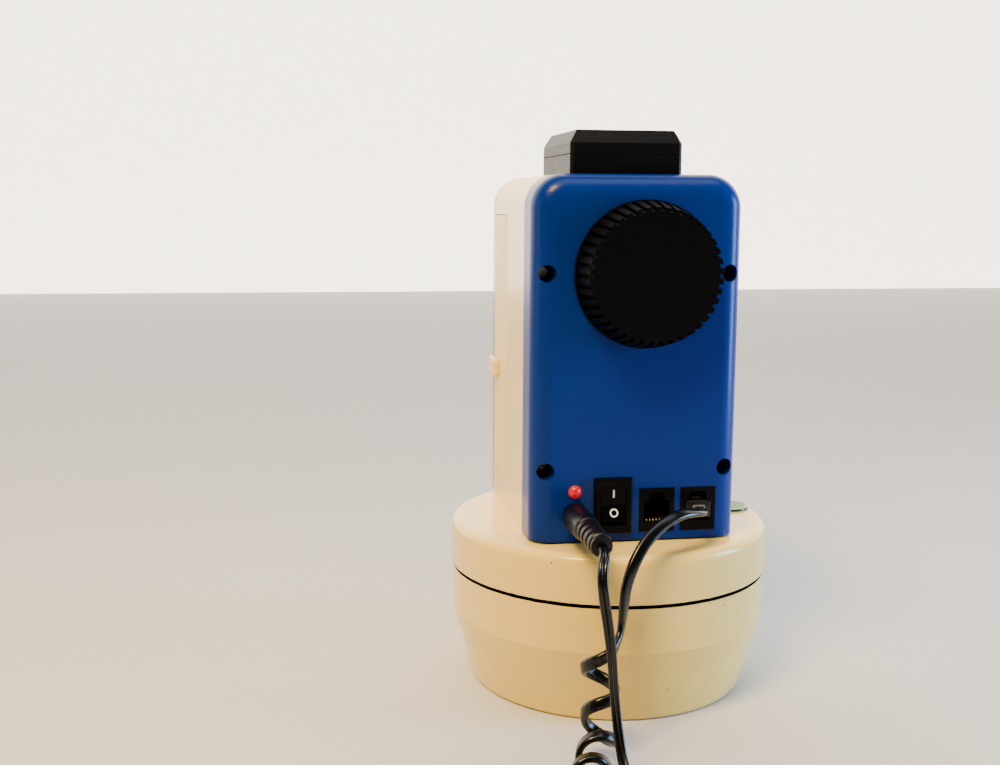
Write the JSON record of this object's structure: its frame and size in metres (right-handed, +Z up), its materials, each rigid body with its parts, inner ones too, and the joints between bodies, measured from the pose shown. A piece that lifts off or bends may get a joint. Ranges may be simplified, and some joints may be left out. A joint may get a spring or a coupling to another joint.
{
  "type": "motorised telescope mount",
  "caption": "Motorised alt-azimuth telescope mount: round base, turning disc, tower with lock knob, switch and sockets, receiver box on top and a dovetail saddle at the back.",
  "frame": {"origin": "on the azimuth axis at the underside of the base, at the mouth of the tripod thread", "axes": "+Z up along the azimuth axis, -Y out of the front with the lock knob and sockets, +X to the right seen from the front"},
  "size_m": [0.1897, 0.2505, 0.2199],
  "materials": {
    "cream_paint": "gloss",
    "cream_plastic": "gloss",
    "blue_plastic": "gloss",
    "dark_blue_plastic": "gloss",
    "knob_plastic": "matte",
    "box_plastic": "satin",
    "black_plastic": "satin",
    "switch_plastic": "gloss",
    "saddle_metal": "black anodised",
    "steel": "turned",
    "screw_steel": "zinc plated",
    "hard_steel": "ground",
    "brass": "machined",
    "motor_case": "satin",
    "board": "solder mask",
    "contact_gold": "gold plated",
    "level_rim": "gloss",
    "cell_wrap": "satin",
    "cord_black": "matte",
    "plug_black": "matte",
    "lamp_red": "gloss",
    "level_liquid": "clear",
    "plug_clear": "clear"
  },
  "bodies": {
    "base": {"base_bowl": "cream_paint", "azimuth_spindle": "steel", "spindle_screws": "screw_steel", "azimuth_wheel": "brass", "azimuth_inner_race": "hard_steel", "azimuth_clip": "steel"},
    "altitude": {"altitude_shaft": "steel", "clutch_sleeve": "brass", "altitude_wheel": "brass", "altitude_inner_races": "hard_steel", "saddle_body": "saddle_metal", "saddle_screws": "screw_steel"},
    "lock_knob": {"altitude_lock_knob": "knob_plastic"},
    "jaw": {"saddle_jaw": "saddle_metal"},
    "clamp": {"clamp_knob": "knob_plastic", "clamp_screw": "steel"},
    "azimuth_worm_shaft": {"azimuth_worm": "hard_steel"},
    "altitude_worm_shaft": {"altitude_worm": "hard_steel"},
    "rocker": {"rocker_switch": "switch_plastic"},
    "left_door": {"left_battery_door": "cream_plastic"},
    "right_door": {"right_battery_door": "cream_plastic"},
    "tower": {"altitude_bearing_balls": "hard_steel", "altitude_bracket": "steel", "altitude_motor": "motor_case", "altitude_outer_races": "hard_steel", "azimuth_bearing_balls": "hard_steel", "azimuth_bracket": "steel", "azimuth_motor": "motor_case", "azimuth_outer_race": "hard_steel", "batteries": "cell_wrap", "battery_holders": "black_plastic", "connector_board": "board", "curly_lead": "cord_black", "disc_screws": "screw_steel", "far_plug": "plug_clear", "front_cover": "blue_plastic", "front_cover_screws": "screw_steel", "hand_lead": "cord_black", "hand_lead_tail": "cord_black", "hand_plug": "plug_clear", "handset_jacks": "black_plastic", "jack_contacts": "contact_gold", "level_cup": "level_rim", "level_vial": "level_liquid", "line_socket": "plug_black", "main_board": "board", "power_lead": "cord_black", "power_lead_coil": "cord_black", "power_plug": "plug_black", "power_socket": "black_plastic", "rear_cover": "dark_blue_plastic", "rear_cover_screws": "screw_steel", "receiver_base": "box_plastic", "receiver_board": "board", "receiver_lid": "box_plastic", "receiver_screws": "screw_steel", "status_lamp": "lamp_red", "switch_bezel": "black_plastic", "tower_frame": "cream_paint", "turning_disc": "cream_paint"}
  },
  "joints": [
    {"name": "azimuth_turn", "type": "hinge", "parent": "base", "child": "tower", "pos_m": [0, 0, 0.05], "axis": [0, 0, 1], "continuous": true},
    {"name": "altitude_turn", "type": "hinge", "parent": "tower", "child": "altitude", "pos_m": [0.002, 0, 0.167], "axis": [0, 1, 0], "continuous": true},
    {"name": "azimuth_worm_spin", "type": "hinge", "parent": "tower", "child": "azimuth_worm_shaft", "pos_m": [0, -0.0296, 0.037], "axis": [1, 0, 0], "continuous": true},
    {"name": "altitude_worm_spin", "type": "hinge", "parent": "tower", "child": "altitude_worm_shaft", "pos_m": [-0.024, -0.004, 0.167], "axis": [0, 0, 1], "continuous": true},
    {"name": "altitude_lock", "type": "hinge", "parent": "altitude", "child": "lock_knob", "pos_m": [0.002, -0.051, 0.167], "axis": [0, -1, 0], "range_deg": [0, 360]},
    {"name": "jaw_slide", "type": "slide", "parent": "altitude", "child": "jaw", "axis": [0, 0, -1], "range_m": [-0.002, 0.005]},
    {"name": "clamp_turn", "type": "hinge", "parent": "jaw", "child": "clamp", "pos_m": [0.002, 0.0685, 0.11], "axis": [0, 0, -1], "range_deg": [-576.5, 1440.5]},
    {"name": "rocker_tilt", "type": "hinge", "parent": "tower", "child": "rocker", "pos_m": [-0.009, -0.04, 0.0804], "axis": [1, 0, 0], "range_deg": [0, 16]},
    {"name": "left_door_open", "type": "hinge", "parent": "tower", "child": "left_door", "pos_m": [-0.03875, 0.0161, 0.133], "axis": [0, 0, 1], "range_deg": [0, 85]},
    {"name": "right_door_open", "type": "hinge", "parent": "tower", "child": "right_door", "pos_m": [0.03875, 0.0161, 0.133], "axis": [0, 0, -1], "range_deg": [0, 85]}
  ],
  "couplings": [
    {"joint": "azimuth_worm_spin", "follows": "azimuth_turn", "ratio": 84},
    {"joint": "altitude_worm_spin", "follows": "altitude_turn", "ratio": 72},
    {"joint": "clamp_turn", "follows": "jaw_slide", "rad_per_m": 5026.5}
  ]
}
